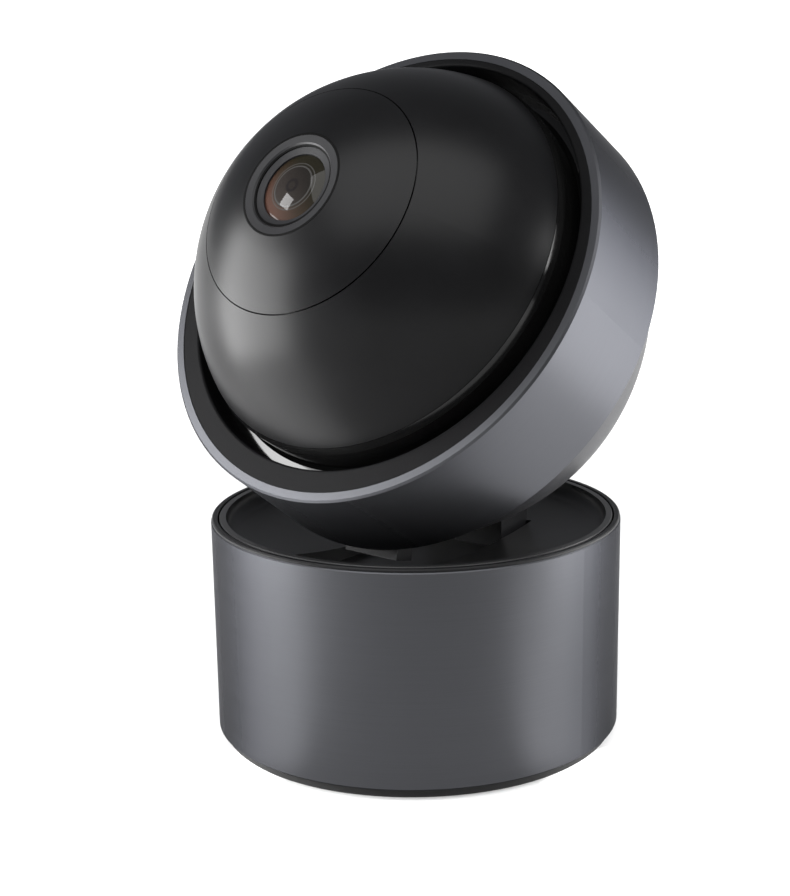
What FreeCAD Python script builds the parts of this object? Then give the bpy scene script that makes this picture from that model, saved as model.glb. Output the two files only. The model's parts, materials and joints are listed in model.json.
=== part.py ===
"""Pan-and-tilt security camera: a drum base with a dished turntable and a round tilting head.

Millimetres. Origin: centre of the base's underside. +Z up, the head faces -Y.
The head's pieces are drawn in the head's own frame (origin at the ball's centre, +Z out of
the lens, +Y up in the face) and then turned to the rest elevation by head_place().
"""
import FreeCAD, Part
import math
import os

from FreeCAD import Vector

# ---- driving sizes: base ----
BASE_R = 37.5            # outside of the metal drum
BASE_WALL = 1.2          # drum wall
TOP_Z = 41.4             # top plane of the base and of the turntable's lip
FOOT_H = 1.75            # rubber foot ring
FOOT_INSET = 1.15        # foot ring inside the drum's face
FOOT_WIDTH = 6.3
TRIM_H = 0.5             # plastic ring on the drum's top edge
TRIM_INSET = 0.15
PLATE_T = 2.0            # bottom plate
INSERT_BORE_R = 2.55     # 1/4-20 thread, wall at its minor diameter
INSERT_R = 4.0
INSERT_LEN = 6.75
BOARD_Z = 7.0            # underside of the main board
BOARD_T = 1.2
BOARD_GAP = 3.3          # board edge to the drum's bore
CHASSIS_Z = 16.0         # underside of the chassis plate
CHASSIS_T = 2.5
POST_R = 2.6
POST_PCR = 27.0          # radius of the circle of screw posts
SCREW_R = 0.85
SCREW_HEAD_R = 1.7

# ---- driving sizes: pan drive ----
PAN_GAP = 0.3            # seam between the turntable and the drum's top ring
LIP_W = 1.2
DISH_Z = 33.9            # lowest point of the dish
DISH_EDGE_DROP = 3.1     # foot of the dish's steep edge below the lip
DISH_EDGE_W = 2.2
DISH_BOTTOM_Z = 31.0
HUB_R = 8.0
HUB_BORE_R = 4.0
HUB_TOP_Z = 27.0
HUB_FLANGE_R = 10.0
HUB_FLANGE_T = 0.6
RUN_FIT = 0.05           # radial clearance of every turning fit
MODULE = 0.5             # tooth size of both drives
TOOTH_TIP = 0.9          # tooth height outside the pitch circle, in modules
TOOTH_ROOT = 1.25        # tooth depth inside it
GEAR_T = 2.5
PAN_TEETH = 72
PAN_PINION_TEETH = 16
PINION_SHAFT_R = 1.0

# ---- driving sizes: neck and tilt drive ----
PIVOT_LIFT = 1.51        # bottom of the ball above the base's top plane
NECK_W = 18.0
NECK_FRONT_Y = 14.0
NECK_T = 8.0
NECK_BOSS_R = 6.5
FOOT_PLATE_T = 4.0
SHAFT_R = 3.0
TILT_TEETH = 36
TILT_PINION_TEETH = 12
TILT_REST = 34.56        # elevation of the lens axis at rest, degrees
TILT_UP = 45.0           # travel from rest to looking up
TILT_DOWN = 26.0         # travel from rest to looking down
GUIDE_W = 12.0           # fin under the head that runs in the dish's channel
GUIDE_GAP = 1.86         # its tip to the channel's floor
GUIDE_FRONT_DEG = 71.4   # its faces, from the head's rear pole towards the chin
GUIDE_BACK_DEG = 66.2

# ---- driving sizes: head ----
BALL_R = 38.75
HEAD_DROP = 1.49         # head axis below the ball's centre
HOOD_GAP = 3.21          # ball to the hood's bore
HOOD_FRONT_WALL = 1.71
HOOD_BACK_WALL = 2.41
HOOD_FRONT_Z = 11.4      # rim plane ahead of the ball's centre
HOOD_BACK_Z = -9.18
HOOD_EDGE = 0.35
BEZEL_GAP = 0.45         # ball to the bezel's bore
BEZEL_BACK_Z = 4.0
DOME_T = 1.6
DOME_EDGE_DEG = 69.5
GROOVE_EDGE_DEG = 72.0
CAP_SEAM_DEG = 32.95
SEAM = 0.12              # half the gap of the dome's seam
LENS_RING_R = 9.46
LENS_CONE_R = 7.57
GLASS_R = 6.15
MOUNT_H = 4.0            # back of the lens barrel above the head frame's disc
FRAME_GAP = 0.55         # tips of the tilt wheel to the head frame's disc
FRAME_T = 2.0
EAR_GAP = 3.0            # neck to the head frame's ears, with the tilt wheel between
EAR_T = 2.5
REAR_T = 2.0
REAR_STEP = 0.4
REAR_BOSS_R = 2.6
REAR_BOSS_INSET = 7.0    # screw posts inside the edge of the head frame
REAR_SEAT_DEPTH = 5.55   # seat of the rear screws below the shell's skin

# ---- worked-out sizes ----
DRUM_BORE_R = BASE_R - BASE_WALL
DRUM_TOP_Z = TOP_Z - TRIM_H
FOOT_R = BASE_R - FOOT_INSET
BOARD_R = DRUM_BORE_R - BOARD_GAP
DISH_R = DRUM_BORE_R - PAN_GAP
LIP_R = DISH_R - LIP_W
HUB_BOTTOM_Z = CHASSIS_Z - 4.0
GEAR_Z = HUB_TOP_Z - HUB_FLANGE_T - GEAR_T
PAN_CENTRES = MODULE * (PAN_TEETH + PAN_PINION_TEETH) / 2
TILT_CENTRES = MODULE * (TILT_TEETH + TILT_PINION_TEETH) / 2
PIVOT_Z = TOP_Z + PIVOT_LIFT + BALL_R      # centre of the ball and of the tilt axis
NECK_BACK_Y = NECK_FRONT_Y + NECK_T
NECK_MID_Y = NECK_FRONT_Y + NECK_T / 2
FOOT_PLATE_Z = DISH_BOTTOM_Z - FOOT_PLATE_T
EAR_X = NECK_W / 2 + EAR_GAP
EAR_OUT_X = EAR_X + EAR_T
HOOD_BORE_R = BALL_R + HOOD_GAP
HOOD_FRONT_R = HOOD_BORE_R + HOOD_FRONT_WALL
HOOD_BACK_R = HOOD_BORE_R + HOOD_BACK_WALL
BEZEL_BORE_R = BALL_R + BEZEL_GAP
FRAME_Z = MODULE * (TILT_TEETH / 2 + TOOTH_TIP) + FRAME_GAP
BARREL_BACK_Z = FRAME_Z + FRAME_T + MOUNT_H
FRAME_R = round(math.sqrt((BALL_R - DOME_T) ** 2 - (FRAME_Z + FRAME_T) ** 2) - 0.15, 1)
REAR_R = math.hypot(HOOD_BORE_R - REAR_STEP, HOOD_BACK_Z)
REAR_BOSS_X = FRAME_R - REAR_BOSS_INSET
REAR_SEAT_Z = -round(math.sqrt(REAR_R ** 2 - REAR_BOSS_X ** 2) - REAR_SEAT_DEPTH, 1)

Z_AXIS = Vector(0, 0, 1)
X_AXIS = Vector(1, 0, 0)
ORIGIN = Vector(0, 0, 0)


# ---- helpers ----
def cyl(r, z0, z1, x=0.0, y=0.0):
    return Part.makeCylinder(r, z1 - z0, Vector(x, y, z0), Z_AXIS)


def tube(r_out, r_in, z0, z1, x=0.0, y=0.0):
    return cyl(r_out, z0, z1, x, y).cut(cyl(r_in, z0 - 1, z1 + 1, x, y))


def cyl_x(r, x0, x1, y=0.0, z=0.0):
    return Part.makeCylinder(r, x1 - x0, Vector(x0, y, z), X_AXIS)


def cyl_y(r, y0, y1, x=0.0, z=0.0):
    return Part.makeCylinder(r, y1 - y0, Vector(x, y0, z), Vector(0, 1, 0))


def block(x0, x1, y0, y1, z0, z1):
    return Part.makeBox(x1 - x0, y1 - y0, z1 - z0, Vector(x0, y0, z0))


def turned(points, y=0.0):
    """Solid of revolution about the vertical through (0, y).

    points: (r, z) corners; a corner given as (r, z, mid_r, mid_z) is reached by an arc
    through the middle point. An outline that closes with an arc ends on its first corner.
    """
    edges = []
    last = points[-1]
    for point in points:
        start = Vector(last[0], 0, last[1])
        end = Vector(point[0], 0, point[1])
        if len(point) == 4:
            edges.append(Part.Arc(start, Vector(point[2], 0, point[3]), end).toShape())
        elif start.distanceToPoint(end) > 1e-6:
            edges.append(Part.LineSegment(start, end).toShape())
        last = point
    face = Part.Face(Part.Wire(edges))
    solid = face.revolve(ORIGIN, Z_AXIS, 360)
    solid.translate(Vector(0, y, 0))
    return solid


def on_sphere(radius, degrees):
    """(r, z) of a point at an angle from the pole."""
    angle = math.radians(degrees)
    return radius * math.sin(angle), radius * math.cos(angle)


def dome_zone(r_out, r_in, from_deg, to_deg):
    """Part of a spherical shell between two angles from its pole."""
    mid = (from_deg + to_deg) / 2
    return turned([
        on_sphere(r_in, from_deg),
        on_sphere(r_out, from_deg),
        on_sphere(r_out, to_deg) + on_sphere(r_out, mid),
        on_sphere(r_in, to_deg),
        on_sphere(r_in, from_deg) + on_sphere(r_in, mid),
    ])


def lens_face(radius, axis_z, edge_z):
    """Middle point of a lens face's arc, from the axis out to its edge."""
    sag = axis_z - edge_z
    curve_r = (radius ** 2 + sag ** 2) / (2 * sag)
    mid_r = radius / 2
    mid_z = axis_z - curve_r + math.copysign(math.sqrt(curve_r ** 2 - mid_r ** 2), curve_r)
    return mid_r, mid_z


def fuse(shapes):
    solid = shapes[0]
    for shape in shapes[1:]:
        solid = solid.fuse(shape)
    return solid.removeSplitter()


def gear(teeth, z0, thickness, phase_deg, backlash=0.12, bore_r=0.0):
    """Spur gear about Z with involute flanks; one tooth is centred on phase_deg."""
    pitch_r = MODULE * teeth / 2
    base_r = pitch_r * math.cos(math.radians(20))
    root_r = pitch_r - TOOTH_ROOT * MODULE
    tip_r = pitch_r + TOOTH_TIP * MODULE

    def involute(r):
        angle = math.acos(min(1.0, base_r / r))
        return math.tan(angle) - angle

    half = math.pi / (2 * teeth) - backlash / (2 * pitch_r)
    start_r = max(base_r, root_r)
    radii = [start_r + (tip_r - start_r) * i / 4 for i in range(5)]
    flank = [(r, half + involute(pitch_r) - involute(r)) for r in radii]
    if root_r < start_r:
        flank.insert(0, (root_r, flank[0][1]))
    outline = []
    for tooth in range(teeth):
        centre = math.radians(phase_deg) + 2 * math.pi * tooth / teeth
        for r, a in flank:
            outline.append(Vector(r * math.cos(centre - a), r * math.sin(centre - a), z0))
        for r, a in reversed(flank):
            outline.append(Vector(r * math.cos(centre + a), r * math.sin(centre + a), z0))
    face = Part.Face(Part.makePolygon(outline + outline[:1]))
    solid = face.extrude(Vector(0, 0, thickness))
    if bore_r:
        solid = solid.cut(cyl(bore_r, z0 - 1, z0 + thickness + 1))
    return solid


def along_x(solid):
    """Turns a solid drawn about Z so that its axis lies along +X."""
    solid.rotate(ORIGIN, Vector(0, 1, 0), 90)
    return solid


def ring_spots(radius, count, first_deg):
    """Points spaced evenly on a circle."""
    angles = [math.radians(first_deg + 360.0 * i / count) for i in range(count)]
    return [(radius * math.cos(a), radius * math.sin(a)) for a in angles]


def head_place(solid):
    """Moves a solid from the head's frame to the object's frame at rest."""
    placed = solid.copy()
    placed.rotate(ORIGIN, X_AXIS, 90 - TILT_REST)
    placed.translate(Vector(0, 0, PIVOT_Z))
    return placed


# ---- base ----
POSTS = ring_spots(POST_PCR, 4, 45)
SPEAKER_X = -18.0
SPEAKER_R = 9.0
SPEAKER_H = 3.0
PLATE_TOP_Z = FOOT_H + PLATE_T
USB_W = 8.94
USB_H = 3.16
USB_DEPTH = 7.35
USB_Z = BOARD_Z + BOARD_T
BUTTON_Z = 12.4
BUTTON_R = 1.6
BUTTON_DEG = -24.0       # bearing of the reset button from the rear, about Z
BUTTON_PROUD = 0.3
BUTTON_TRAVEL = 0.6
BUTTON_BACK_Y = DRUM_BORE_R - 3.7
CUT_IN_Y = DRUM_BORE_R - 6.3     # the wall's openings are cut between these two
CUT_OUT_Y = BASE_R + 2.5
CARD_DEG = 24.0
CARD_W = 12.0
CARD_H = 1.6
PAN_MOTOR_R = 8.0
PAN_MOTOR_H = 6.4


def base_drum():
    drum = turned([
        (DRUM_BORE_R, FOOT_H), (BASE_R - 0.3, FOOT_H), (BASE_R, FOOT_H + 0.3),
        (BASE_R, DRUM_TOP_Z - 0.3), (BASE_R - 0.3, DRUM_TOP_Z), (DRUM_BORE_R, DRUM_TOP_Z),
    ])
    mid_z = USB_Z + USB_H / 2
    half_w = USB_W / 2 - USB_H / 2
    end_r = USB_H / 2 + 0.3
    slot = block(-half_w, half_w, CUT_IN_Y, CUT_OUT_Y, mid_z - end_r, mid_z + end_r)
    for x in (-half_w, half_w):
        slot = slot.fuse(cyl_y(end_r, CUT_IN_Y, CUT_OUT_Y, x, mid_z))
    button_hole = cyl_y(BUTTON_R + 1.6 * RUN_FIT, CUT_IN_Y, CUT_OUT_Y, 0, BUTTON_Z)
    button_hole.rotate(ORIGIN, Z_AXIS, BUTTON_DEG)
    card_hole = block(-CARD_W / 2, CARD_W / 2, CUT_IN_Y, CUT_OUT_Y,
                      BUTTON_Z - CARD_H / 2, BUTTON_Z + CARD_H / 2)
    card_hole.rotate(ORIGIN, Z_AXIS, CARD_DEG)
    return drum.cut(slot).cut(button_hole).cut(card_hole)


def base_plate():
    plate = cyl(DRUM_BORE_R, FOOT_H, PLATE_TOP_Z)
    plate = plate.fuse(cyl(INSERT_R + 2.2, PLATE_TOP_Z, FOOT_H + INSERT_LEN + 1.0))
    plate = plate.cut(cyl(INSERT_R, FOOT_H - 1, FOOT_H + INSERT_LEN))
    for x, y in POSTS:
        plate = plate.cut(cyl(SCREW_R, FOOT_H - 1, PLATE_TOP_Z + 1, x, y))
        plate = plate.cut(cyl(SCREW_HEAD_R, FOOT_H - 1, FOOT_H + 1.1, x, y))
    for ring_r, count in ((0.0, 1), (2.6, 6), (5.2, 12)):
        for x, y in ring_spots(ring_r, count, 0):
            plate = plate.cut(cyl(0.6, FOOT_H - 1, PLATE_TOP_Z + 1, x + SPEAKER_X, y))
    return plate


def foot_ring():
    inner = FOOT_R - FOOT_WIDTH
    return turned([
        (inner + 0.4, 0), (FOOT_R - 0.4, 0), (FOOT_R, 0.4), (FOOT_R, FOOT_H),
        (inner, FOOT_H), (inner, 0.4),
    ])


def tripod_insert():
    return tube(INSERT_R, INSERT_BORE_R, FOOT_H, FOOT_H + INSERT_LEN)


def bottom_screws():
    screws = []
    for x, y in POSTS:
        head = cyl(SCREW_HEAD_R, FOOT_H + 0.1, FOOT_H + 1.1, x, y)
        drive = cyl(0.8, FOOT_H - 1, FOOT_H + 0.7, x, y)
        shank = cyl(SCREW_R, FOOT_H + 1.1, BOARD_Z + 3, x, y)
        screws.append(head.fuse(shank).cut(drive))
    return Part.makeCompound(screws)


def base_chassis():
    plate = cyl(DRUM_BORE_R, CHASSIS_Z, CHASSIS_Z + CHASSIS_T)
    wall = tube(DRUM_BORE_R, DRUM_BORE_R - 2.1, CHASSIS_Z, DISH_BOTTOM_Z - 3.0)
    boss = cyl(HUB_R + 4, HUB_BOTTOM_Z + 1, GEAR_Z - 0.7)
    posts = [cyl(POST_R, PLATE_TOP_Z, CHASSIS_Z, x, y) for x, y in POSTS]
    chassis = fuse([plate, wall, boss] + posts)
    chassis = chassis.cut(cyl(HUB_R + RUN_FIT, 0, TOP_Z))
    for x, y in POSTS:
        chassis = chassis.cut(cyl(SCREW_R, PLATE_TOP_Z - 1, BOARD_Z + 3, x, y))
    return chassis.cut(cyl(PINION_SHAFT_R + 0.5, CHASSIS_Z - 1, TOP_Z, PAN_CENTRES, 0))


def main_board():
    board = cyl(BOARD_R, BOARD_Z, BOARD_Z + BOARD_T)
    board = board.cut(cyl(INSERT_R + 3.0, 0, TOP_Z))
    for x, y in POSTS:
        board = board.cut(cyl(POST_R + 0.3, 0, TOP_Z, x, y))
    return board


def board_chips():
    top = BOARD_Z + BOARD_T
    chips = [
        block(-7, 5, -24, -12, top, top + 1.1),
        block(8, 15, -27, -20, top, top + 0.9),
        block(-16, -10, -24, -16, top, top + 0.9),
        block(-26, -19, -4, 4, top, top + 1.0),
        block(8, 13, 11, 16, top, top + 1.6),
    ]
    return Part.makeCompound(chips)


def usb_port():
    """Type-C receptacle: rounded metal shell with a tongue, open to the rear."""
    mouth_y = DRUM_BORE_R
    back_y = mouth_y - USB_DEPTH
    mid_z = USB_Z + USB_H / 2

    def stadium(width, height, y0, y1):
        half = (width - height) / 2
        body = block(-half, half, y0, y1, mid_z - height / 2, mid_z + height / 2)
        ends = [cyl_y(height / 2, y0, y1, x, mid_z) for x in (-half, half)]
        return fuse([body] + ends)

    shell = stadium(USB_W, USB_H, back_y, mouth_y)
    shell = shell.cut(stadium(USB_W - 0.6, USB_H - 0.6, back_y + 0.8, mouth_y + 1))
    tongue = block(-3.35, 3.35, back_y + 0.5, mouth_y - 1.2, mid_z - 0.35, mid_z + 0.35)
    return shell.fuse(tongue)


def card_socket():
    """Memory card socket behind the slot in the drum."""
    inner = DRUM_BORE_R * math.cos(math.asin(CARD_W / 2 / DRUM_BORE_R)) - 0.7
    shell = block(-CARD_W / 2 - 1, CARD_W / 2 + 1, inner - 14, inner, BUTTON_Z - 1.4, BUTTON_Z + 1.4)
    mouth = block(-CARD_W / 2, CARD_W / 2, inner - 12, inner + 1, BUTTON_Z - 0.6, BUTTON_Z + 0.6)
    stand = block(-CARD_W / 2, CARD_W / 2, inner - 13, inner - 3, BOARD_Z + BOARD_T, BUTTON_Z - 1.4)
    socket = shell.cut(mouth).fuse(stand)
    socket.rotate(ORIGIN, Z_AXIS, CARD_DEG)
    return socket


def speaker():
    basket = cyl(SPEAKER_R, PLATE_TOP_Z, PLATE_TOP_Z + SPEAKER_H, SPEAKER_X, 0)
    cone = cyl(SPEAKER_R - 1.4, PLATE_TOP_Z - 1, PLATE_TOP_Z + 0.9, SPEAKER_X, 0)
    return basket.cut(cone)


def reset_button():
    cap = cyl_y(BUTTON_R, BUTTON_BACK_Y, BASE_R + BUTTON_PROUD, 0, BUTTON_Z)
    flange = cyl_y(BUTTON_R + 0.7, BUTTON_BACK_Y, BUTTON_BACK_Y + 1.2, 0, BUTTON_Z)
    button = cap.fuse(flange).removeSplitter()
    button.rotate(ORIGIN, Z_AXIS, BUTTON_DEG)
    return button


def reset_switch():
    front_y = BUTTON_BACK_Y - BUTTON_TRAVEL - 0.1
    body = block(-2.2, 2.2, front_y - 3.5, front_y, BOARD_Z + BOARD_T, BUTTON_Z + 1.6)
    body.rotate(ORIGIN, Z_AXIS, BUTTON_DEG)
    return body


def pan_motor():
    can = cyl(PAN_MOTOR_R, CHASSIS_Z - PAN_MOTOR_H, CHASSIS_Z, PAN_CENTRES, 0)
    return can.cut(cyl(PINION_SHAFT_R + RUN_FIT, CHASSIS_Z - 4, TOP_Z, PAN_CENTRES, 0))


def pan_pinion():
    wheel = gear(PAN_PINION_TEETH, GEAR_Z, GEAR_T, 180 + 180.0 / PAN_PINION_TEETH)
    shaft = cyl(PINION_SHAFT_R, CHASSIS_Z - 3.5, GEAR_Z)
    pinion = wheel.fuse(shaft)
    pinion.translate(Vector(PAN_CENTRES, 0, 0))
    return pinion


def pan_bearing():
    return tube(DRUM_BORE_R - 0.8, DRUM_BORE_R - 5, DISH_BOTTOM_Z - 3.0, DISH_BOTTOM_Z - 0.1)


def top_trim():
    outer = BASE_R - TRIM_INSET
    return turned([
        (DRUM_BORE_R, DRUM_TOP_Z), (outer, DRUM_TOP_Z), (outer, TOP_Z - 0.2),
        (outer - 0.2, TOP_Z), (DRUM_BORE_R + 0.15, TOP_Z), (DRUM_BORE_R, TOP_Z - 0.15),
    ])


# ---- turntable ----
SLOT_HALF_W = 4.5        # narrow front part of the dish's channel
POCKET_HALF_W = NECK_W / 2 + 1.2
POCKET_FRONT_Y = -22.0
POCKET_FLOOR_Z = DISH_BOTTOM_Z + 1.2
NECK_SCREW_X = NECK_W / 2 + 2.5
NECK_SCREWS = [(x, y) for y in (-3.5, NECK_BACK_Y - 2.5) for x in (-NECK_SCREW_X, NECK_SCREW_X)]
NECK_SCREW_R = 1.0
CHANNEL_HALF_W = 4.0
COVER_T = 1.4
GUIDE_R = PIVOT_Z - POCKET_FLOOR_Z - GUIDE_GAP


def pan_dish():
    """Dished disc with a keyhole channel, from the front of the lip back to the neck."""
    edge_r = LIP_R - DISH_EDGE_W
    edge_z = TOP_Z - DISH_EDGE_DROP
    dish = turned([
        (0, DISH_BOTTOM_Z), (DISH_R, DISH_BOTTOM_Z), (DISH_R, TOP_Z - 0.15),
        (DISH_R - 0.15, TOP_Z), (LIP_R, TOP_Z),
        (edge_r, edge_z, LIP_R - 0.55, TOP_Z - 2.0),
        (0, DISH_Z, edge_r * 0.62, DISH_Z + (edge_z - DISH_Z) * 0.36),
    ])
    dish = dish.cut(tube(LIP_R - 2.6, 24.5, DISH_BOTTOM_Z - 1, DISH_BOTTOM_Z + 3.6))
    narrow = block(-SLOT_HALF_W, SLOT_HALF_W, -LIP_R + 0.1, POCKET_FRONT_Y + 1, POCKET_FLOOR_Z, TOP_Z)
    keep = cyl(LIP_R - 0.1, POCKET_FLOOR_Z + 3.0, TOP_Z)
    pocket = block(-POCKET_HALF_W, POCKET_HALF_W, POCKET_FRONT_Y, NECK_BACK_Y, POCKET_FLOOR_Z, TOP_Z)
    hole = block(-NECK_W / 2, NECK_W / 2, NECK_FRONT_Y, NECK_BACK_Y, 0, TOP_Z)
    dish = dish.cut(narrow.common(keep)).cut(pocket).cut(hole)
    for x, y in NECK_SCREWS:
        dish = dish.cut(cyl(NECK_SCREW_R, DISH_BOTTOM_Z - 1, DISH_BOTTOM_Z + 2.4, x, y))
    return dish


def pan_hub():
    stem = cyl(HUB_R, HUB_BOTTOM_Z, HUB_TOP_Z)
    flange = cyl(HUB_FLANGE_R, HUB_TOP_Z - HUB_FLANGE_T, HUB_TOP_Z)
    return stem.fuse(flange).removeSplitter().cut(cyl(HUB_BORE_R, 0, TOP_Z))


def hub_clip():
    ring = tube(HUB_R + 2, HUB_R, HUB_BOTTOM_Z, HUB_BOTTOM_Z + 0.8)
    return ring.cut(block(-1.2, 1.2, 0, 20, 0, TOP_Z))


def pan_gear():
    return gear(PAN_TEETH, GEAR_Z, GEAR_T, 0, bore_r=HUB_R)


def neck():
    """Arm from the turntable to the tilt shaft, hollow for the ribbon cable."""
    half = NECK_W / 2
    side = [
        (NECK_FRONT_Y, FOOT_PLATE_Z), (NECK_BACK_Y, FOOT_PLATE_Z),
        (NECK_BACK_Y, PIVOT_Z - 28), (NECK_BOSS_R - 0.2, PIVOT_Z),
        (-NECK_BOSS_R + 0.2, PIVOT_Z), (-NECK_BOSS_R + 3.0, PIVOT_Z - 12),
        (NECK_FRONT_Y, PIVOT_Z - 32),
    ]
    corners = [Vector(-half, y, z) for y, z in side]
    arm = Part.Face(Part.makePolygon(corners + corners[:1])).extrude(Vector(NECK_W, 0, 0))
    boss = cyl_x(NECK_BOSS_R, -half, half, 0, PIVOT_Z)
    foot = block(-half - 5, half + 5, -6, NECK_BACK_Y + 3, FOOT_PLATE_Z, DISH_BOTTOM_Z)
    solid = fuse([arm, boss, foot])
    solid = solid.cut(cyl_x(SHAFT_R, -half - 1, half + 1, 0, PIVOT_Z))
    mid = NECK_MID_Y
    solid = solid.cut(block(-CHANNEL_HALF_W, CHANNEL_HALF_W, mid - 2, mid + 2, 0, PIVOT_Z - 31))
    solid = solid.cut(block(-CHANNEL_HALF_W, CHANNEL_HALF_W, -3.5, mid + 2, 0, DISH_BOTTOM_Z))
    for x, y in NECK_SCREWS:
        solid = solid.cut(cyl(NECK_SCREW_R, 0, TOP_Z, x, y))
    return solid.cut(neck_cover())


def neck_cover():
    """Flat cover let into the back of the neck."""
    return block(-NECK_W / 2 + 2, NECK_W / 2 - 2, NECK_BACK_Y - COVER_T, NECK_BACK_Y,
                 TOP_Z - 4, PIVOT_Z - 31)


def neck_screws():
    screws = []
    for x, y in NECK_SCREWS:
        head = cyl(NECK_SCREW_R + 0.8, FOOT_PLATE_Z - 0.4, FOOT_PLATE_Z, x, y)
        shank = cyl(NECK_SCREW_R, FOOT_PLATE_Z, DISH_BOTTOM_Z + 2.2, x, y)
        screws.append(head.fuse(shank).removeSplitter())
    return Part.makeCompound(screws)


def ribbon_cable():
    """Flat cable that runs up the hub and the neck."""
    width, thick, jog_z = 5.0, 0.4, FOOT_PLATE_Z + 1.0
    lower = block(-width / 2, width / 2, -thick / 2, thick / 2, HUB_BOTTOM_Z + 1, jog_z)
    across = block(-width / 2, width / 2, -thick / 2, NECK_MID_Y + thick / 2, jog_z, jog_z + thick)
    upper = block(-width / 2, width / 2, NECK_MID_Y - thick / 2, NECK_MID_Y + thick / 2,
                  jog_z + thick, PIVOT_Z - 32)
    return fuse([lower, across, upper])


def tilt_shaft():
    reach = EAR_OUT_X + 1.5
    return cyl_x(SHAFT_R, -reach, reach, 0, PIVOT_Z)


def tilt_gear():
    """Wheel fixed to the shaft beside the neck; the head's pinion rolls on it."""
    wheel = along_x(gear(TILT_TEETH, NECK_W / 2 + 0.2, GEAR_T - 0.3, 0, bore_r=SHAFT_R))
    wheel.rotate(ORIGIN, X_AXIS, 180 - TILT_REST)
    wheel.translate(Vector(0, 0, PIVOT_Z))
    return wheel


# ---- head, in the head's own frame ----
TILT_MOTOR_R = 5.0
TILT_MOTOR_LEN = 11.0
TILT_PIN_R = 0.8
BARREL_R = 7.4
BARREL_BORE_R = 5.6
PUPIL_R = 1.23
SENSOR_BOARD_T = 1.6
LENS_SCREEN_Z = BALL_R - 5.75    # baffle behind the front glass
REAR_LENS_Z = LENS_SCREEN_Z - 9.0
IR_BOARD_Z = BALL_R - 12.75
IR_BOARD_T = 1.2
LENS_TOP_Z = on_sphere(BALL_R, math.degrees(math.asin(LENS_RING_R / BALL_R)))[1]
LENS_SEAT_Z = LENS_TOP_Z - 3.0   # foot of the lens ring, on the barrel


def hood():
    return turned([
        (HOOD_BORE_R, HOOD_FRONT_Z), (HOOD_FRONT_R - HOOD_EDGE, HOOD_FRONT_Z),
        (HOOD_FRONT_R, HOOD_FRONT_Z - HOOD_EDGE), (HOOD_BACK_R, HOOD_BACK_Z + HOOD_EDGE),
        (HOOD_BACK_R - HOOD_EDGE, HOOD_BACK_Z), (HOOD_BORE_R, HOOD_BACK_Z),
    ], -HEAD_DROP)


def bezel():
    front = HOOD_FRONT_Z - 0.1
    ring = cyl(HOOD_BORE_R, BEZEL_BACK_Z, front, 0, -HEAD_DROP)
    bore = turned([
        (0, BEZEL_BACK_Z - 1), (BEZEL_BORE_R, BEZEL_BACK_Z - 1), (BEZEL_BORE_R, front - 0.5),
        (BEZEL_BORE_R + 0.5, front, BEZEL_BORE_R + 0.15, front - 0.15),
        (BEZEL_BORE_R + 0.5, front + 1), (0, front + 1),
    ])
    return ring.cut(bore)


def groove_ring():
    """Black channel between the bezel and the dome, which also carries the dome."""
    edge = DOME_EDGE_DEG + 0.15
    top_in = on_sphere(BALL_R - DOME_T, edge)
    foot = on_sphere(BALL_R, GROOVE_EDGE_DEG)
    return turned([
        top_in, on_sphere(BALL_R, edge),
        foot + on_sphere(BALL_R, (edge + GROOVE_EDGE_DEG) / 2),
        (foot[0], BEZEL_BACK_Z + 2.6), (foot[0] + 0.6, BEZEL_BACK_Z + 2.0),
        (BEZEL_BORE_R, BEZEL_BACK_Z + 2.0), (BEZEL_BORE_R, BEZEL_BACK_Z + 0.6),
        (FRAME_R, BEZEL_BACK_Z + 0.6), (FRAME_R, top_in[1] - 0.4),
    ])


def seam_degrees():
    return math.degrees(SEAM / BALL_R)


def dome_shell():
    return dome_zone(BALL_R, BALL_R - DOME_T, CAP_SEAM_DEG + seam_degrees(), DOME_EDGE_DEG)


def dome_cap():
    """Front cap of the dome, with the lens hole and a lip that bears on the shell behind."""
    cap = dome_zone(BALL_R, BALL_R - DOME_T, 0.0, CAP_SEAM_DEG - seam_degrees())
    lip_r = BALL_R - DOME_T
    lip = dome_zone(lip_r, lip_r - 1.2, CAP_SEAM_DEG - 3, CAP_SEAM_DEG + 3)
    return cap.fuse(lip).cut(cyl(LENS_RING_R, 0, BALL_R + 1))


def lens_ring():
    outer = LENS_RING_R - 0.06
    return turned([
        (LENS_CONE_R, LENS_SEAT_Z), (outer, LENS_SEAT_Z), (outer, LENS_TOP_Z - 0.25),
        (outer - 0.25, LENS_TOP_Z + 0.02), (LENS_CONE_R + 0.3, LENS_TOP_Z - 0.1),
        (LENS_CONE_R, LENS_TOP_Z - 0.4),
    ])


def lens_cone():
    """Sunk ring between the lens ring and the front glass."""
    outer = LENS_CONE_R - 0.06
    return turned([
        (GLASS_R, LENS_SEAT_Z), (outer, LENS_SEAT_Z), (outer, LENS_TOP_Z - 0.85),
        (outer - 0.2, LENS_TOP_Z - 0.65), (GLASS_R, LENS_TOP_Z - 0.95),
    ])


def lens_front():
    """Front glass: a meniscus seated in the cone."""
    rim_z = LENS_TOP_Z - 1.3
    front_z = rim_z + 1.0
    back_z = rim_z - 0.4
    back_rim_z = rim_z - 1.1
    return turned([
        (0, back_z),
        (GLASS_R, back_rim_z) + lens_face(GLASS_R, back_z, back_rim_z),
        (GLASS_R, rim_z),
        (0, front_z) + lens_face(GLASS_R, front_z, rim_z),
    ])


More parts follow.
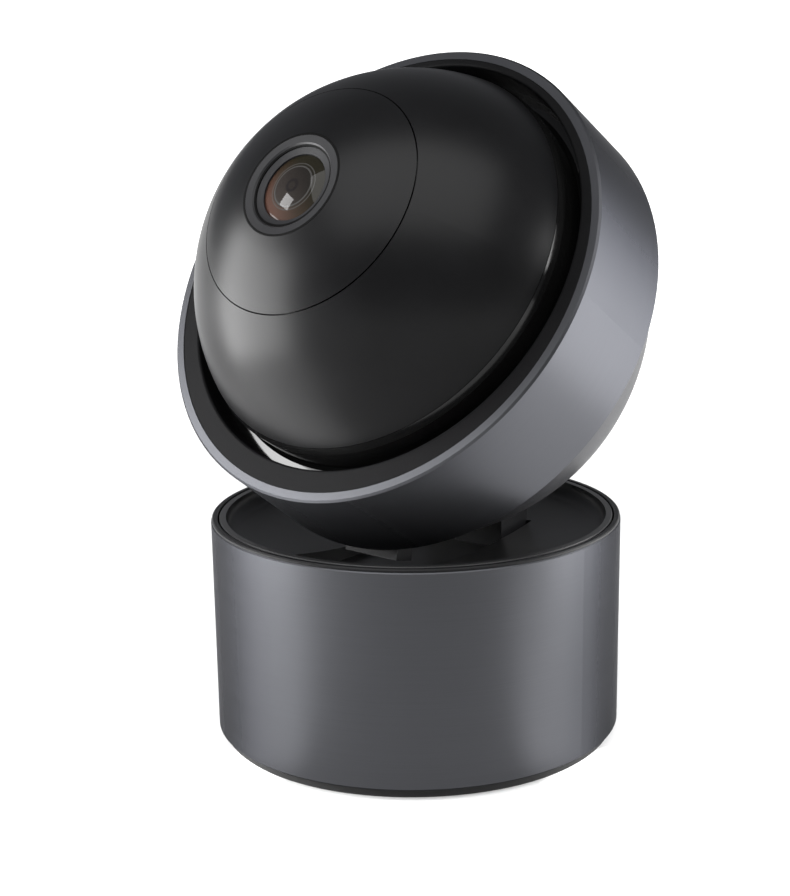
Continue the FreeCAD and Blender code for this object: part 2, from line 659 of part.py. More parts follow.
def lens_stop():
    """Stepped baffle behind the front glass, with the pupil at its centre."""
    z = LENS_SCREEN_Z
    return turned([
        (PUPIL_R, z - 0.9), (BARREL_BORE_R, z - 0.9), (BARREL_BORE_R, z + 0.9), (4.9, z + 0.9),
        (4.26, z + 0.2), (4.0, z + 0.2), (3.69, z - 0.1), (3.0, z - 0.1), (PUPIL_R, z - 0.6),
    ])


def lens_barrel():
    return tube(BARREL_R, BARREL_BORE_R, BARREL_BACK_Z, LENS_SEAT_Z)


def lens_rear():
    front_z = REAR_LENS_Z + 4.4
    rim_back = REAR_LENS_Z + 0.8
    rim_front = REAR_LENS_Z + 3.2
    return turned([
        (0, REAR_LENS_Z),
        (BARREL_BORE_R, rim_back) + lens_face(BARREL_BORE_R, REAR_LENS_Z, rim_back),
        (BARREL_BORE_R, rim_front),
        (0, front_z) + lens_face(BARREL_BORE_R, front_z, rim_front),
    ])


def sensor_board():
    return block(-11, 11, -11, 11, BARREL_BACK_Z - SENSOR_BOARD_T, BARREL_BACK_Z)


def image_sensor():
    return block(-4, 4, -3.4, 3.4, BARREL_BACK_Z, BARREL_BACK_Z + 1.1)


def lens_mount():
    """Square holder that stands on the head frame and carries the sensor board."""
    outer = block(-12.5, 12.5, -12.5, 12.5, FRAME_Z + FRAME_T, BARREL_BACK_Z)
    inner = block(-10, 10, -10, 10, FRAME_Z, BARREL_BACK_Z - SENSOR_BOARD_T)
    seat = block(-11, 11, -11, 11, BARREL_BACK_Z - SENSOR_BOARD_T, BARREL_BACK_Z + 1)
    return outer.cut(inner).cut(seat)


def ir_board():
    return tube(19.0, BARREL_R, IR_BOARD_Z, IR_BOARD_Z + IR_BOARD_T)


def ir_leds():
    leds = []
    foot_z = IR_BOARD_Z + IR_BOARD_T
    for x, y in ring_spots(13.5, 4, 45):
        body = cyl(2.0, foot_z, foot_z + 1.2, x, y)
        lens = Part.makeSphere(1.1, Vector(x, y, foot_z + 1.2))
        leds.append(body.fuse(lens).removeSplitter())
    return Part.makeCompound(leds)


def head_frame():
    """Disc across the ball with two ears that carry the tilt shaft and the motor."""
    disc = cyl(FRAME_R, FRAME_Z, FRAME_Z + FRAME_T)
    parts = [disc]
    for x0 in (EAR_X, -EAR_OUT_X):
        x1 = x0 + EAR_T
        parts.append(block(x0, x1, -8, 20, 0, FRAME_Z))
        parts.append(cyl_x(8.0, x0, x1))
    frame = fuse(parts)
    frame = frame.cut(cyl_x(SHAFT_R + 1.5, -20, 20))
    return frame.cut(cyl_x(TILT_PIN_R + 0.4, EAR_X - 1, EAR_OUT_X + 1, TILT_CENTRES))


def tilt_bushings():
    ring = cyl_x(SHAFT_R + 1.5, EAR_X, EAR_OUT_X).cut(cyl_x(SHAFT_R + RUN_FIT, 0, 20))
    other = ring.mirror(ORIGIN, X_AXIS)
    return Part.makeCompound([ring, other])


def tilt_motor():
    can = cyl_x(TILT_MOTOR_R, EAR_OUT_X, EAR_OUT_X + TILT_MOTOR_LEN, TILT_CENTRES)
    return can.cut(cyl_x(TILT_PIN_R + RUN_FIT, EAR_OUT_X - 1, EAR_OUT_X + 6, TILT_CENTRES))


def tilt_pinion():
    face_x = NECK_W / 2 + 0.3
    wheel = along_x(gear(TILT_PINION_TEETH, face_x, GEAR_T - 0.5, 180.0 / TILT_PINION_TEETH))
    wheel.rotate(ORIGIN, X_AXIS, -90)
    wheel = wheel.fuse(cyl_x(TILT_PIN_R, face_x + GEAR_T - 0.5, EAR_OUT_X + 5))
    wheel.translate(Vector(0, TILT_CENTRES, 0))
    return wheel


def arm_slot(first_deg, last_deg, half_width):
    """Sector swept about the tilt axis; angles run from the rear pole to the chin."""
    section = Part.makePolygon([
        Vector(-half_width, 0, -REAR_R + 8), Vector(half_width, 0, -REAR_R + 8),
        Vector(half_width, 0, -REAR_R - 8), Vector(-half_width, 0, -REAR_R - 8),
        Vector(-half_width, 0, -REAR_R + 8),
    ])
    face = Part.Face(section)
    face.rotate(ORIGIN, X_AXIS, -last_deg)
    return face.revolve(ORIGIN, X_AXIS, last_deg - first_deg)


def tilt_guide():
    """Fin on the rear shell, just behind the hood; it runs in the dish's channel."""
    fin = arm_slot(GUIDE_BACK_DEG, GUIDE_FRONT_DEG, GUIDE_W / 2)
    fin = fin.common(cyl_x(GUIDE_R, -GUIDE_W, GUIDE_W))
    return fin.cut(Part.makeSphere(REAR_R, Vector(0, -HEAD_DROP, 0)))


def rear_shell():
    """Back half of the head, with the slot that the neck passes through."""
    step_z = HOOD_BACK_Z
    sphere_r = HOOD_BORE_R - REAR_STEP
    inner_r = REAR_R - REAR_T
    flange_in = HOOD_BORE_R - 2.1
    join_z = -math.sqrt(inner_r ** 2 - flange_in ** 2)
    mid = REAR_R * math.sqrt(0.5)
    mid_in = inner_r * math.sqrt(0.5)
    shell = turned([
        (flange_in, BEZEL_BACK_Z), (HOOD_BORE_R, BEZEL_BACK_Z), (HOOD_BORE_R, step_z + 0.5),
        (sphere_r, step_z + 0.5), (sphere_r, step_z),
        (0, -REAR_R, mid, -mid), (0, -inner_r), (flange_in, join_z, mid_in, -mid_in),
    ], -HEAD_DROP)
    reach = math.degrees(math.asin(NECK_FRONT_Y / (REAR_R + HEAD_DROP)))
    back = math.degrees(math.asin(NECK_BACK_Y / (inner_r - HEAD_DROP)))
    chin = 90 - TILT_REST + TILT_DOWN - reach + 1.7
    rear = 90 - TILT_REST - TILT_UP - back - 1.9
    shell = shell.cut(arm_slot(rear, chin, NECK_W / 2 + 0.8))
    for x in (-REAR_BOSS_X, REAR_BOSS_X):
        boss = cyl(REAR_BOSS_R, -REAR_R, FRAME_Z, x, 0)
        room = Part.makeSphere(REAR_R - 0.3, Vector(0, -HEAD_DROP, 0))
        front = block(x - 5, x + 5, -5, 5, 0, FRAME_Z)
        shell = shell.fuse(boss.common(room.fuse(front)))
    for x in (-REAR_BOSS_X, REAR_BOSS_X):
        shell = shell.cut(cyl(SCREW_R, -REAR_R, FRAME_Z + 1, x, 0))
        shell = shell.cut(cyl(SCREW_HEAD_R + 0.1, -REAR_R, REAR_SEAT_Z, x, 0))
    return shell.removeSplitter()


def rear_screws():
    screws = []
    for x in (-REAR_BOSS_X, REAR_BOSS_X):
        drive = cyl(0.8, REAR_SEAT_Z - 3, REAR_SEAT_Z - 0.9, x, 0)
        head = cyl(SCREW_HEAD_R, REAR_SEAT_Z - 1.7, REAR_SEAT_Z, x, 0).cut(drive)
        shank = cyl(SCREW_R, REAR_SEAT_Z, FRAME_Z, x, 0)
        screws.append(head.fuse(shank))
    return Part.makeCompound(screws)


# ---- every piece, under its own name ----
FIXED_PIECES = {
    "base_drum": base_drum, "base_plate": base_plate, "foot_ring": foot_ring,
    "tripod_insert": tripod_insert, "bottom_screws": bottom_screws,
    "base_chassis": base_chassis, "main_board": main_board, "board_chips": board_chips,
    "usb_port": usb_port, "card_socket": card_socket, "speaker": speaker,
    "reset_button": reset_button, "reset_switch": reset_switch, "pan_motor": pan_motor,
    "pan_pinion": pan_pinion, "pan_bearing": pan_bearing, "top_trim": top_trim,
    "pan_dish": pan_dish, "pan_hub": pan_hub, "hub_clip": hub_clip, "pan_gear": pan_gear,
    "neck": neck, "neck_cover": neck_cover, "neck_screws": neck_screws,
    "ribbon_cable": ribbon_cable, "tilt_shaft": tilt_shaft, "tilt_gear": tilt_gear,
}
HEAD_PIECES = {
    "hood": hood, "bezel": bezel, "groove_ring": groove_ring, "dome_shell": dome_shell,
    "dome_cap": dome_cap, "lens_ring": lens_ring, "lens_cone": lens_cone,
    "lens_front": lens_front, "lens_stop": lens_stop, "lens_barrel": lens_barrel,
    "lens_rear": lens_rear, "image_sensor": image_sensor, "sensor_board": sensor_board,
    "lens_mount": lens_mount, "ir_board": ir_board, "ir_leds": ir_leds,
    "head_frame": head_frame, "tilt_bushings": tilt_bushings, "tilt_motor": tilt_motor,
    "tilt_pinion": tilt_pinion, "rear_shell": rear_shell, "rear_screws": rear_screws,
    "tilt_guide": tilt_guide,
}

os.makedirs("parts", exist_ok=True)
for name, make in FIXED_PIECES.items():
    make().exportStep("parts/%s.step" % name)
for name, make in HEAD_PIECES.items():
    head_place(make()).exportStep("parts/%s.step" % name)
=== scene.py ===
"""Looks of a pan-and-tilt security camera: metal drum and hood, glossy black dome, coated lens."""
import json
import math

import bmesh
import bpy
from mathutils import Matrix, Vector


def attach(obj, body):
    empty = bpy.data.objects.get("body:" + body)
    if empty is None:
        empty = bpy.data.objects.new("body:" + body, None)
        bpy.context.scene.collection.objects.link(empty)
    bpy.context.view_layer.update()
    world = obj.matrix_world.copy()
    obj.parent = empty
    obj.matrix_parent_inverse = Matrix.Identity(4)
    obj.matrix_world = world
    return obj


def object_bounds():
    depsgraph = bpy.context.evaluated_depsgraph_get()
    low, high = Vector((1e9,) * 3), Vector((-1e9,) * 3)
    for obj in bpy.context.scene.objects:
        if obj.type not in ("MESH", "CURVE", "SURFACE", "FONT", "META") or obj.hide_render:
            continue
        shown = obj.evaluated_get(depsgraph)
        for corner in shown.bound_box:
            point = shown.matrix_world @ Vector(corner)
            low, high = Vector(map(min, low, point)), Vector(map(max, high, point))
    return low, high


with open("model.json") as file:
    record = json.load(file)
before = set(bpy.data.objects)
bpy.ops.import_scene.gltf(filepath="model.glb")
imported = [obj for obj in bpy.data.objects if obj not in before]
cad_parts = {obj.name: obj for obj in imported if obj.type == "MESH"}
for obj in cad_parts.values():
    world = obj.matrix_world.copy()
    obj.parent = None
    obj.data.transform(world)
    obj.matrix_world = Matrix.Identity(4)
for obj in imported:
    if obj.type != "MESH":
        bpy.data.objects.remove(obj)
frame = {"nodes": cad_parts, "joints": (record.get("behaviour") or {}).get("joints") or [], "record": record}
cad_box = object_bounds()

# ---- places, in metres ----
NODES = frame["nodes"]
SLOT_OF = {s["node"]: s["material_slot"] for s in frame["record"]["subparts"]}
JOINTS = {j["name"]: j for j in frame["joints"]}
PIVOT = Vector(JOINTS["tilt"]["pos_m"])
REST_ELEVATION = math.radians(34.56)   # lens axis above level at rest, as in the CAD
HEAD = Matrix.Translation(PIVOT) @ Matrix.Rotation(math.pi / 2 - REST_ELEVATION, 4, "X")
MM = 0.001


# ---- shader helpers ----
NOISE_ROUGHNESS = 0.55


class Shader:
    """A material with a Principled shader and short calls for the nodes that feed it."""

    def __init__(self, name, in_head=False):
        self.material = bpy.data.materials.new(name)
        self.material.use_nodes = True
        self.tree = self.material.node_tree
        self.surface = self.tree.nodes["Principled BSDF"]
        self.point = self.add("ShaderNodeTexCoord").outputs["Object"]
        if in_head:
            turn = self.add("ShaderNodeMapping")
            back = HEAD.inverted()
            turn.inputs["Rotation"].default_value = back.to_euler()
            turn.inputs["Location"].default_value = back.to_translation()
            self.join(self.point, turn.inputs["Vector"])
            self.point = turn.outputs["Vector"]

    def add(self, kind, **settings):
        node = self.tree.nodes.new(kind)
        for name, value in settings.items():
            setattr(node, name, value)
        return node

    def join(self, output, socket):
        self.tree.links.new(output, socket)

    def put(self, name, value):
        self.surface.inputs[name].default_value = value

    def stretched(self, scale):
        node = self.add("ShaderNodeMapping")
        node.inputs["Scale"].default_value = scale
        self.join(self.point, node.inputs["Vector"])
        return node.outputs["Vector"]

    def noise(self, scale, detail=3.0, stretch=(1, 1, 1)):
        node = self.add("ShaderNodeTexNoise")
        node.inputs["Scale"].default_value = scale
        node.inputs["Detail"].default_value = detail
        node.inputs["Roughness"].default_value = NOISE_ROUGHNESS
        self.join(self.stretched(stretch), node.inputs["Vector"])
        return node.outputs["Fac"]

    def span(self, value, low, high, from_low=0.3, from_high=0.7):
        node = self.add("ShaderNodeMapRange")
        node.inputs["From Min"].default_value = from_low
        node.inputs["From Max"].default_value = from_high
        node.inputs["To Min"].default_value = low
        node.inputs["To Max"].default_value = high
        self.join(value, node.inputs["Value"])
        return node.outputs["Result"]

    def ramp(self, value, stops):
        node = self.add("ShaderNodeValToRGB")
        elements = node.color_ramp.elements
        while len(elements) < len(stops):
            elements.new(0.5)
        for element, (place, colour) in zip(elements, stops):
            element.position = place
            element.color = (*colour, 1)
        self.join(value, node.inputs["Fac"])
        return node.outputs["Color"]

    def maths(self, operation, first, second):
        node = self.add("ShaderNodeMath", operation=operation)
        for socket, value in zip(node.inputs, (first, second)):
            if isinstance(value, float):
                socket.default_value = value
            else:
                self.join(value, socket)
        return node.outputs["Value"]

    def bump(self, height, strength, distance=0.00005):
        node = self.add("ShaderNodeBump")
        node.inputs["Strength"].default_value = strength
        node.inputs["Distance"].default_value = distance
        self.join(height, node.inputs["Height"])
        self.join(node.outputs["Normal"], self.surface.inputs["Normal"])

    def axis_distance(self):
        """Distance of the shaded point from the local Z axis."""
        parts = self.add("ShaderNodeSeparateXYZ")
        self.join(self.point, parts.inputs["Vector"])
        x2 = self.maths("MULTIPLY", parts.outputs["X"], parts.outputs["X"])
        y2 = self.maths("MULTIPLY", parts.outputs["Y"], parts.outputs["Y"])
        return self.maths("SQRT", self.maths("ADD", x2, y2), 0.0)


def anodised(name, in_head):
    """Gunmetal anodised aluminium, finely turned and bead blasted."""
    s = Shader(name, in_head)
    turned = s.noise(160, 4.0, (0.3, 0.3, 60))
    grain = s.noise(5200, 2.0)
    cloud = s.noise(35, 2.0)
    tone = s.maths("ADD", s.maths("MULTIPLY", turned, 0.55), s.maths("MULTIPLY", cloud, 0.45))
    s.join(s.ramp(tone, [(0.3, (0.049, 0.050, 0.054)), (0.7, (0.058, 0.059, 0.064))]),
           s.surface.inputs["Base Color"])
    mixed = s.maths("ADD", s.maths("MULTIPLY", turned, 0.5), s.maths("MULTIPLY", grain, 0.5))
    s.join(s.span(mixed, 0.33, 0.43), s.surface.inputs["Roughness"])
    s.bump(mixed, 0.10, 0.00003)
    s.put("Metallic", 0.82)
    s.put("Specular IOR Level", 0.08)
    s.put("Specular Tint", (0.16, 0.16, 0.17, 1))
    return s.material


def moulded(name, low, high, rough, grain=3800, grain_strength=0.25, shine=0.4, in_head=False):
    """Moulded plastic or rubber: fine texture, faint tone and gloss variation."""
    s = Shader(name, in_head)
    fine = s.noise(grain, 3.0)
    cloud = s.noise(60, 3.0)
    s.join(s.ramp(cloud, [(0.3, low), (0.7, high)]), s.surface.inputs["Base Color"])
    mixed = s.maths("ADD", s.maths("MULTIPLY", fine, 0.6), s.maths("MULTIPLY", cloud, 0.4))
    s.join(s.span(mixed, rough - 0.04, rough + 0.04), s.surface.inputs["Roughness"])
    s.bump(fine, grain_strength)
    s.put("Specular IOR Level", shine)
    return s.material


def glossy(name, low, high, rough, shine=0.3, in_head=False):
    """Polished black plastic with the faintest orange peel and handling haze."""
    s = Shader(name, in_head)
    peel = s.noise(420, 2.0)
    haze = s.noise(70, 5.0)
    s.join(s.ramp(haze, [(0.3, low), (0.7, high)]), s.surface.inputs["Base Color"])
    s.join(s.span(haze, rough - 0.015, rough + 0.02), s.surface.inputs["Roughness"])
    s.bump(peel, 0.02, 0.00002)
    s.put("Specular IOR Level", shine)
    return s.material


def metal(name, low, high, rough, stretch=(1, 1, 1)):
    """Bare or plated metal with machining or rolling marks."""
    s = Shader(name)
    marks = s.noise(900, 4.0, stretch)
    s.join(s.ramp(marks, [(0.3, low), (0.7, high)]), s.surface.inputs["Base Color"])
    s.join(s.span(marks, rough - 0.07, rough + 0.08), s.surface.inputs["Roughness"])
    s.bump(marks, 0.15, 0.00003)
    s.put("Metallic", 1.0)
    return s.material


def circuit_board(name):
    """Green solder mask with paler copper runs under it."""
    s = Shader(name)
    runs = s.add("ShaderNodeTexBrick")
    runs.inputs["Scale"].default_value = 260
    runs.inputs["Mortar Size"].default_value = 0.08
    runs.inputs["Color1"].default_value = (0.012, 0.085, 0.038, 1)
    runs.inputs["Color2"].default_value = (0.010, 0.070, 0.032, 1)
    runs.inputs["Mortar"].default_value = (0.035, 0.17, 0.075, 1)
    s.join(s.point, runs.inputs["Vector"])
    s.join(runs.outputs["Color"], s.surface.inputs["Base Color"])
    s.join(s.span(s.noise(400), 0.25, 0.4), s.surface.inputs["Roughness"])
    s.bump(runs.outputs["Fac"], 0.2)
    return s.material


def coated_glass(name):
    """Clear coated glass of the rear lens and the infrared emitters."""
    s = Shader(name, True)
    s.join(s.ramp(s.noise(300), [(0.3, (0.80, 0.72, 0.68)), (0.7, (0.86, 0.78, 0.74))]),
           s.surface.inputs["Base Color"])
    s.join(s.span(s.noise(500, 4.0), 0.02, 0.06), s.surface.inputs["Roughness"])
    s.put("Transmission Weight", 1.0)
    s.put("IOR", 1.45)
    return s.material


BLACK, WHITE = (0, 0, 0), (1, 1, 1)
GLASS_R = 6.15 * MM    # as in the CAD


def front_glass(name):
    """Front element as it is seen from outside: dark stops and fine rings under a clear coat, with a painted
    reflection that makes the glass lighter and warmer towards the lower left and darker towards the upper
    right.

    The stops of zone, rings and pupil are shares of GLASS_R.
    """
    s = Shader(name, True)
    parts = s.add("ShaderNodeSeparateXYZ")
    s.join(s.point, parts.inputs["Vector"])
    # painted reflection: the glass is coloured lighter and warmer towards the lower left and darker towards
    # the upper right, seen from in front
    painted_glow_slope = s.maths("ADD", parts.outputs["X"], parts.outputs["Y"])
    outer = s.ramp(s.span(painted_glow_slope, 1.0, 0.0, -0.0085, 0.0035),
                   [(0.0, (0.006, 0.005, 0.002)), (0.45, (0.016, 0.010, 0.006)),
                    (1.0, (0.042, 0.019, 0.013))])
    inner = s.ramp(s.span(painted_glow_slope, 1.0, 0.0, -0.005, 0.004),
                   [(0.0, (0.006, 0.005, 0.004)), (1.0, (0.013, 0.010, 0.0085))])
    share = s.span(s.axis_distance(), 0.0, 1.0, 0.0, GLASS_R)

    def blend(factor, first, second):
        node = s.add("ShaderNodeMix", data_type="RGBA")
        s.join(factor, node.inputs["Factor"])
        s.join(first, node.inputs["A"])
        if isinstance(second, tuple):
            node.inputs["B"].default_value = (*second, 1)
        else:
            s.join(second, node.inputs["B"])
        return node.outputs["Result"]

    zone = s.ramp(share, [(0.0, BLACK), (0.64, BLACK), (0.66, WHITE)])
    rings = s.ramp(share, [(0.0, BLACK), (0.572, BLACK), (0.588, WHITE), (0.612, WHITE),
                           (0.628, BLACK), (0.672, BLACK), (0.69, WHITE), (0.70, WHITE),
                           (0.715, BLACK)])
    pupil = s.ramp(share, [(0.0, BLACK), (0.10, BLACK), (0.13, WHITE), (0.19, WHITE), (0.22, BLACK)])
    colour = blend(zone, inner, outer)
    colour = blend(rings, colour, (0.032, 0.031, 0.029))
    colour = blend(pupil, colour, (0.004, 0.003, 0.003))
    s.join(colour, s.surface.inputs["Base Color"])
    s.join(s.span(s.noise(3000), 0.5, 0.65), s.surface.inputs["Roughness"])
    s.put("Specular IOR Level", 0.05)
    s.put("Coat Weight", 0.36)
    s.put("Coat Roughness", 0.04)
    s.put("Coat IOR", 1.45)
    return s.material


MATERIALS = {
    "drum_metal": anodised("drum_metal", False),
    "hood_metal": anodised("hood_metal", True),
    "trim_plastic": moulded("trim_plastic", (0.004, 0.004, 0.0045), (0.006, 0.006, 0.0065), 0.40, shine=0.12),
    "dish_plastic": glossy("dish_plastic", (0.011, 0.011, 0.0115), (0.015, 0.015, 0.0155), 0.34, 0.22),
    "neck_plastic": moulded("neck_plastic", (0.008, 0.008, 0.009), (0.012, 0.012, 0.013), 0.42, shine=0.18),
    "bezel_plastic": moulded("bezel_plastic", (0.0030, 0.0030, 0.0033), (0.0045, 0.0045, 0.0048), 0.55,
                             shine=0.045, in_head=True),
    "groove_plastic": glossy("groove_plastic", (0.003, 0.003, 0.003), (0.005, 0.005, 0.005), 0.10,
                             in_head=True),
    "dome_plastic": glossy("dome_plastic", (0.0028, 0.0028, 0.003), (0.004, 0.004, 0.0044), 0.33,
                           shine=0.13, in_head=True),
    "lens_trim": moulded("lens_trim", (0.010, 0.010, 0.011), (0.014, 0.014, 0.015), 0.42,
                         grain_strength=0.1, shine=0.16, in_head=True),
    "lens_glass": coated_glass("lens_glass"),
    "inner_plastic": moulded("inner_plastic", (0.018, 0.018, 0.019), (0.030, 0.030, 0.031), 0.5),
    "rear_plastic": moulded("rear_plastic", (0.018, 0.018, 0.020), (0.025, 0.025, 0.027), 0.46,
                            shine=0.25, in_head=True),
    "foot_rubber": moulded("foot_rubber", (0.009, 0.009, 0.009), (0.014, 0.014, 0.014), 0.78,
                           grain=2500, grain_strength=0.5),
    "gear_plastic": moulded("gear_plastic", (0.62, 0.61, 0.57), (0.72, 0.71, 0.67), 0.42),
    "shaft_steel": metal("shaft_steel", (0.45, 0.45, 0.46), (0.62, 0.62, 0.63), 0.25, (40, 1, 1)),
    "motor_steel": metal("motor_steel", (0.42, 0.42, 0.43), (0.56, 0.56, 0.58), 0.38),
    "screw_steel": metal("screw_steel", (0.10, 0.10, 0.105), (0.16, 0.16, 0.165), 0.36),
    "brass": metal("brass", (0.62, 0.45, 0.19), (0.74, 0.56, 0.26), 0.28, (1, 1, 30)),
    "board": circuit_board("board"),
    "chip": moulded("chip", (0.012, 0.012, 0.012), (0.020, 0.020, 0.020), 0.45),
    "connector_steel": metal("connector_steel", (0.50, 0.50, 0.52), (0.64, 0.64, 0.66), 0.3),
    "cable": moulded("cable", (0.36, 0.18, 0.035), (0.46, 0.25, 0.06), 0.35),
}

FRONT_GLASS = front_glass("front_glass")
GASKET_AND_SHADE_RUBBER = moulded("gasket_and_shade_rubber", (0.0012, 0.0012, 0.0012), (0.0020, 0.0020, 0.0020), 0.62,
                        shine=0.05, in_head=True)

for name, node in NODES.items():
    node.data.materials.clear()
    node.data.materials.append(FRONT_GLASS if name == "lens_front" else MATERIALS[SLOT_OF[name]])


# ---- a rubber gasket round the lens, and inside it a black ring of painted shade for the gap, with the ball's and the rings' radii as in the CAD ----
BALL_R = 38.75 * MM
LENS_RING_R = 9.46 * MM
LENS_CONE_R = 7.57 * MM
LENS_TOP = math.sqrt(BALL_R ** 2 - LENS_RING_R ** 2)
RING_SEGMENTS = 192
WIDER_WAY = Vector((0.64, -0.77, 0))   # down and to the right, seen from in front of the lens, where the painted shade ring is widest


def dark_lens_ring(name, profile, aside=0.0):
    """Closed ring turned about the lens axis; profile holds (radius, height) corners.

    aside is how far the inner wall moves in at WIDER_WAY, fading to nothing a quarter turn away; it makes the
    ring of painted shade wider on that side.
    """
    form = bmesh.new()
    inner = min(radius for radius, height in profile)
    loops = []
    for step in range(RING_SEGMENTS):
        turn = 2 * math.pi * step / RING_SEGMENTS
        across = Vector((math.cos(turn), math.sin(turn), 0))
        wider = aside * max(0.0, across.dot(WIDER_WAY))
        loop = []
        for radius, height in profile:
            reach = radius - wider if radius == inner else radius
            loop.append(form.verts.new(HEAD @ (across * reach + Vector((0, 0, height)))))
        loops.append(loop)
    for step, loop in enumerate(loops):
        following = loops[(step + 1) % RING_SEGMENTS]
        for corner in range(len(profile)):
            beyond = (corner + 1) % len(profile)
            form.faces.new((loop[corner], following[corner], following[beyond], loop[beyond]))
    bmesh.ops.recalc_face_normals(form, faces=form.faces)
    mesh = bpy.data.meshes.new(name)
    form.to_mesh(mesh)
    form.free()
    mesh.materials.append(GASKET_AND_SHADE_RUBBER)
    piece = bpy.data.objects.new(name, mesh)
    bpy.context.scene.collection.objects.link(piece)
    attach(piece, "head")


dark_lens_ring("lens_outer_gasket", [
    (LENS_RING_R - 0.26 * MM, LENS_TOP - 0.60 * MM), (LENS_RING_R + 0.12 * MM, LENS_TOP - 0.60 * MM),
    (LENS_RING_R + 0.12 * MM, LENS_TOP + 0.01 * MM), (LENS_RING_R - 0.10 * MM, LENS_TOP + 0.03 * MM),
    (LENS_RING_R - 0.26 * MM, LENS_TOP + 0.04 * MM),
])
# black ring of painted shade: it stands for the shadowed gap inside the outer ring and is wider down and to
# the right
dark_lens_ring("lens_inner_shade_ring", [
    (LENS_CONE_R - 0.22 * MM, LENS_TOP - 0.90 * MM), (LENS_CONE_R + 0.06 * MM, LENS_TOP - 0.90 * MM),
    (LENS_CONE_R + 0.06 * MM, LENS_TOP - 0.34 * MM), (LENS_CONE_R - 0.22 * MM, LENS_TOP - 0.48 * MM),
], aside=0.28 * MM)

# ---- camera, at the product's three-quarter view from a little above ----
CAMERA_TURN = math.radians(37.41)
CAMERA_DOWN = math.radians(16.458)
CAMERA_PLACE = (0.21400, -0.25725, 0.13298)
SENSOR_MM = 36
FOCAL_MM = 75.63
SHIFT_RIGHT, SHIFT_UP = -0.1071, 0.1110
camera_data = bpy.data.cameras.new("camera")
camera_data.sensor_width = SENSOR_MM
camera_data.lens = FOCAL_MM
camera_data.shift_x = SHIFT_RIGHT
camera_data.shift_y = SHIFT_UP
camera = bpy.data.objects.new("camera", camera_data)
camera.location = CAMERA_PLACE
camera.rotation_euler = (math.pi / 2 - CAMERA_DOWN, 0, CAMERA_TURN)
bpy.context.scene.collection.objects.link(camera)
bpy.context.scene.camera = camera


# ---- studio ----
STUDIO = Matrix.Rotation(CAMERA_TURN, 4, "Z")


def softbox(name, place, aim, width, height, power):
    """White rectangular light; place and aim are given as right, away from the camera and up."""
    data = bpy.data.lights.new(name, "AREA")
    data.shape = "RECTANGLE"
    data.size = width
    data.size_y = height
    data.energy = power
    light = bpy.data.objects.new(name, data)
    start = STUDIO @ Vector(place)
    way = STUDIO @ Vector(aim) - start
    light.matrix_world = Matrix.Translation(start) @ way.to_track_quat("-Z", "Y").to_matrix().to_4x4()
    bpy.context.scene.collection.objects.link(light)


FLOOR_HALF_WIDTH = 8.0
FLOOR_FRONT = -8.0
FLOOR_BACK = 3.0
BEND_R = 0.1
BEND_STEPS = 12
WALL_TOP = 0.3
POOL_GLOW = 2.8
POOL_NEAR = (0.022, 0.036)      # a pool fades in over this distance to the side
POOL_FAR = (0.12, 0.20)         # and out over this one
POOL_AWAY = 0.023               # its middle line passes this far in front of the floor's centre
POOL_SLANT = 0.17               # and comes forward by this share of the distance to the side
POOL_FLARE = 0.6                # half its depth, as a share of the distance to the side
POOL_PINCH = 0.007              # less this
POOL_EDGE = (0.5, 1.15)         # it fades out between these shares of that half depth
PAPER_GLOW = (0.28, 1.4)        # glow of the paper itself near the base and far out
PAPER_REACH = (0.10, 0.55)      # distances from the floor's centre between which it grows


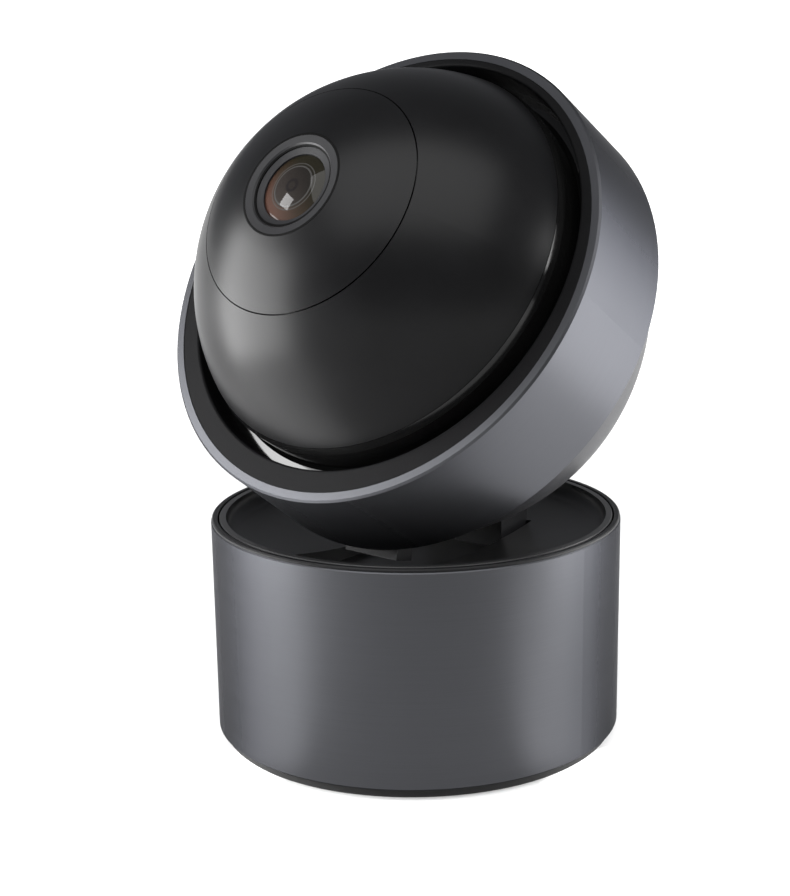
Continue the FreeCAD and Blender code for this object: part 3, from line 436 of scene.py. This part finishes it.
def studio_paper():
    """White paper that glows a little far out, and more in two pools beside the base."""
    s = Shader("studio_paper")
    s.join(s.ramp(s.noise(3, 2.0), [(0.3, (0.44, 0.44, 0.44)), (0.7, (0.46, 0.46, 0.46))]),
           s.surface.inputs["Base Color"])
    s.put("Roughness", 0.9)
    s.put("Specular IOR Level", 0.1)
    distance = s.add("ShaderNodeVectorMath", operation="LENGTH")
    s.join(s.point, distance.inputs[0])
    parts = s.add("ShaderNodeSeparateXYZ")
    s.join(s.point, parts.inputs["Vector"])
    side = s.maths("ABSOLUTE", parts.outputs["X"], 0.0)
    offset = s.maths("ADD", s.maths("ADD", parts.outputs["Y"], POOL_AWAY),
                     s.maths("MULTIPLY", side, POOL_SLANT))
    depth = s.maths("SUBTRACT", s.maths("MULTIPLY", side, POOL_FLARE), POOL_PINCH)
    band = s.span(s.maths("ABSOLUTE", s.maths("DIVIDE", offset, depth), 0.0), 1.0, 0.0, *POOL_EDGE)
    start = s.span(side, 0.0, 1.0, *POOL_NEAR)
    end = s.span(side, POOL_GLOW, 0.0, *POOL_FAR)
    pools = s.maths("MULTIPLY", s.maths("MULTIPLY", band, start), end)
    glow = s.span(distance.outputs["Value"], *PAPER_GLOW, *PAPER_REACH)
    s.join(s.maths("ADD", pools, glow), s.surface.inputs["Emission Strength"])
    s.put("Emission Color", (1, 1, 1, 1))
    return s.material


def studio_floor():
    """White sweep: a floor that curves up into a low wall far behind."""
    profile = [(FLOOR_FRONT, 0.0), (FLOOR_BACK, 0.0)]
    for step in range(1, BEND_STEPS + 1):
        angle = math.radians(90.0 * step / BEND_STEPS)
        profile.append((FLOOR_BACK + BEND_R * math.sin(angle), BEND_R - BEND_R * math.cos(angle)))
    profile.append((FLOOR_BACK + BEND_R, WALL_TOP))
    lowest = cad_box[0].z
    verts = []
    for y, z in profile:
        verts += [(-FLOOR_HALF_WIDTH, y, z + lowest), (FLOOR_HALF_WIDTH, y, z + lowest)]
    faces = [(2 * i, 2 * i + 1, 2 * i + 3, 2 * i + 2) for i in range(len(profile) - 1)]
    mesh = bpy.data.meshes.new("studio_floor")
    mesh.from_pydata(verts, [], faces)
    mesh.shade_smooth()
    mesh.materials.append(studio_paper())
    floor = bpy.data.objects.new("studio_floor", mesh)
    floor.matrix_world = STUDIO
    bpy.context.scene.collection.objects.link(floor)


world = bpy.data.worlds.new("studio_air")
world.use_nodes = True
air = world.node_tree.nodes["Background"]
air.inputs["Color"].default_value = (0.92, 0.94, 1.0, 1)
air.inputs["Strength"].default_value = 0.22
bpy.context.scene.world = world
studio_floor()
softbox("left_bank", (-0.18, -0.032, 0.078), (0, -0.032, 0.078), 0.15, 0.14, 0.95)
softbox("right_bank", (0.155, 0.01, 0.078), (0, 0.01, 0.078), 0.14, 0.152, 0.62)
softbox("kicker", (-0.43, -0.03, 0.34), (0, 0, 0.10), 0.11, 0.08, 0.55)
softbox("overhead", (0.0, -0.36, 0.80), (0, 0, 0.08), 1.25, 0.75, 11.5)

bpy.context.scene.view_settings.view_transform = "Standard"
